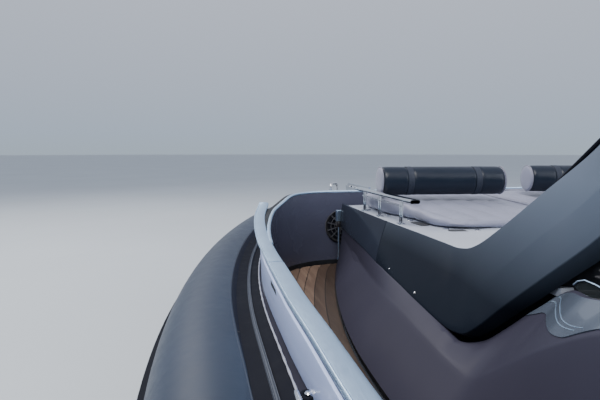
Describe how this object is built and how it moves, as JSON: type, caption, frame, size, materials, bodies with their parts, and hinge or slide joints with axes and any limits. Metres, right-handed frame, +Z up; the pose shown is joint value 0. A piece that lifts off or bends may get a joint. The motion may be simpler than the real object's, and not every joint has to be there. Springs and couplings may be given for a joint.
{
  "type": "inflatable rib boat",
  "caption": "Walk-around rigid inflatable boat with a hardtop helm, teak decks, bow sunpad with bolsters and twin shaft drives.",
  "frame": {"origin": "centreline amidships at the waterline", "axes": "+Z up, bow towards -Y, port side towards +X"},
  "size_m": [5.188, 17.68, 5.027],
  "materials": {
    "collar_fabric": "matt coated fabric",
    "black_rubber": "matt",
    "hull_gelcoat": "semi-gloss dark grey gelcoat",
    "bulwark_gelcoat": "satin light blue-grey",
    "deckhouse_satin": "satin dark grey paint",
    "gloss_panel": "high-gloss dark green-grey paint",
    "satin_alloy": "satin light grey",
    "pale_deck": "satin pale grey",
    "teak": "oiled teak with black caulking",
    "tinted_glass": "dark tinted",
    "stainless": "satin stainless",
    "polished_steel": "polished stainless",
    "pale_upholstery": "light lilac-grey vinyl",
    "dark_upholstery": "dark anthracite vinyl",
    "black_plastic": "matt black",
    "engine_iron": "painted grey",
    "bronze": "cast bronze"
  },
  "bodies": {
    "boat": {"side_tubes": "collar_fabric", "bow_tube": "collar_fabric", "rubbing_strake": "black_rubber", "hull": "hull_gelcoat", "deck_moulding": "hull_gelcoat", "side_bulwarks": "bulwark_gelcoat", "bow_bulwark": "deckhouse_satin", "capping_rails": "satin_alloy", "bow_capping": "satin_alloy", "foredeck": "hull_gelcoat", "coachroof": "deckhouse_satin", "side_panels": "gloss_panel", "coamings": "deckhouse_satin", "pillars": "gloss_panel", "teak_side_decks": "teak", "windscreen": "tinted_glass", "side_glass": "tinted_glass", "hardtop": "hull_gelcoat", "hardtop_legs": "gloss_panel", "light_mast": "stainless", "bow_sunpad": "pale_upholstery", "bolsters": "dark_upholstery", "sunpad_rails": "stainless", "speakers": "black_plastic", "helm_console": "deckhouse_satin", "helm_seat_pedestals": "stainless", "helm_seat_cushions": "dark_upholstery", "lounge_base": "deckhouse_satin", "lounge_seat_cushion": "pale_upholstery", "lounge_back_cushion": "dark_upholstery", "cockpit_table": "teak", "cockpit_sole": "teak", "wet_bar": "deckhouse_satin", "aft_box": "deckhouse_satin", "engines": "engine_iron", "platform_teak": "teak", "swim_platform": "hull_gelcoat", "ladder_brackets": "stainless", "shaft_brackets": "bronze", "cleats": "polished_steel", "bow_roller": "stainless", "anchor": "polished_steel", "bow_eye": "stainless", "flagstaff_socket": "polished_steel"},
    "wheel": {"steering_wheel": "black_plastic"},
    "door": {"companionway_door": "gloss_panel"},
    "locker_lid": {"anchor_locker_lid": "pale_deck"},
    "engine_lid": {"engine_hatch": "pale_deck", "aft_sunpad": "pale_upholstery"},
    "gate_port": {"transom_gate_port": "satin_alloy"},
    "gate_starboard": {"transom_gate_starboard": "satin_alloy"},
    "ladder": {"boarding_ladder": "stainless"},
    "shaft_port": {"propeller_port": "bronze"},
    "shaft_starboard": {"propeller_starboard": "bronze"},
    "helm_port": {"rudder_port": "bronze"},
    "helm_starboard": {"rudder_starboard": "bronze"},
    "tab_port": {"trim_tab_port": "stainless"},
    "tab_starboard": {"trim_tab_starboard": "stainless"},
    "bar_lid": {"wet_bar_lid": "pale_deck"}
  },
  "joints": [
    {"name": "rudder_port_turn", "type": "hinge", "parent": "boat", "child": "helm_port", "pos_m": [0.75, 6.8, -0.5], "axis": [0, 0, 1], "range_deg": [-35, 35]},
    {"name": "rudder_starboard_turn", "type": "hinge", "parent": "boat", "child": "helm_starboard", "pos_m": [-0.75, 6.8, -0.5], "axis": [0, 0, 1], "range_deg": [-35, 35]},
    {"name": "steering_wheel_turn", "type": "hinge", "parent": "boat", "child": "wheel", "pos_m": [-0.56, -2.59, 1.7], "axis": [0, -0.9063, -0.4226], "range_deg": [-525, 525]},
    {"name": "shaft_port_spin", "type": "hinge", "parent": "boat", "child": "shaft_port", "pos_m": [0.75, 6.52, -0.761], "axis": [0, -0.9874, 0.1582], "continuous": true},
    {"name": "shaft_starboard_spin", "type": "hinge", "parent": "boat", "child": "shaft_starboard", "pos_m": [-0.75, 6.52, -0.761], "axis": [0, -0.9874, 0.1582], "continuous": true},
    {"name": "companionway_door_swing", "type": "hinge", "parent": "boat", "child": "door", "pos_m": [0.88, -3.214, 1.3], "axis": [0, 0, -1], "range_deg": [0, 100]},
    {"name": "anchor_locker_lid_lift", "type": "hinge", "parent": "boat", "child": "locker_lid", "pos_m": [0, -6.968, 1.43], "axis": [-1, 0, 0], "range_deg": [0, 95]},
    {"name": "engine_hatch_lift", "type": "hinge", "parent": "boat", "child": "engine_lid", "pos_m": [0, 4.44, 1.584], "axis": [1, 0, 0], "range_deg": [0, 60]},
    {"name": "transom_gate_port_swing", "type": "hinge", "parent": "boat", "child": "gate_port", "pos_m": [1.505, 6.42, 1.37], "axis": [0, 0, -1], "range_deg": [0, 90]},
    {"name": "transom_gate_starboard_swing", "type": "hinge", "parent": "boat", "child": "gate_starboard", "pos_m": [-1.505, 6.42, 1.37], "axis": [0, 0, 1], "range_deg": [0, 90]},
    {"name": "boarding_ladder_swing", "type": "hinge", "parent": "boat", "child": "ladder", "pos_m": [0.76, 8.328, 0.536], "axis": [-1, 0, 0], "range_deg": [0, 255]},
    {"name": "trim_tab_port_tilt", "type": "hinge", "parent": "boat", "child": "tab_port", "pos_m": [1, 6.92, -0.23436], "axis": [-0.9398, 0, -0.3417], "range_deg": [0, 20]},
    {"name": "trim_tab_starboard_tilt", "type": "hinge", "parent": "boat", "child": "tab_starboard", "pos_m": [-1, 6.92, -0.23436], "axis": [-0.9398, 0, 0.3417], "range_deg": [0, 20]},
    {"name": "wet_bar_lid_lift", "type": "hinge", "parent": "boat", "child": "bar_lid", "pos_m": [-1.275, -0.15, 1.896], "axis": [0, -1, 0], "range_deg": [0, 85]}
  ],
  "couplings": [
    {"joint": "rudder_starboard_turn", "follows": "rudder_port_turn", "ratio": 1},
    {"joint": "steering_wheel_turn", "follows": "rudder_port_turn", "ratio": 15}
  ]
}
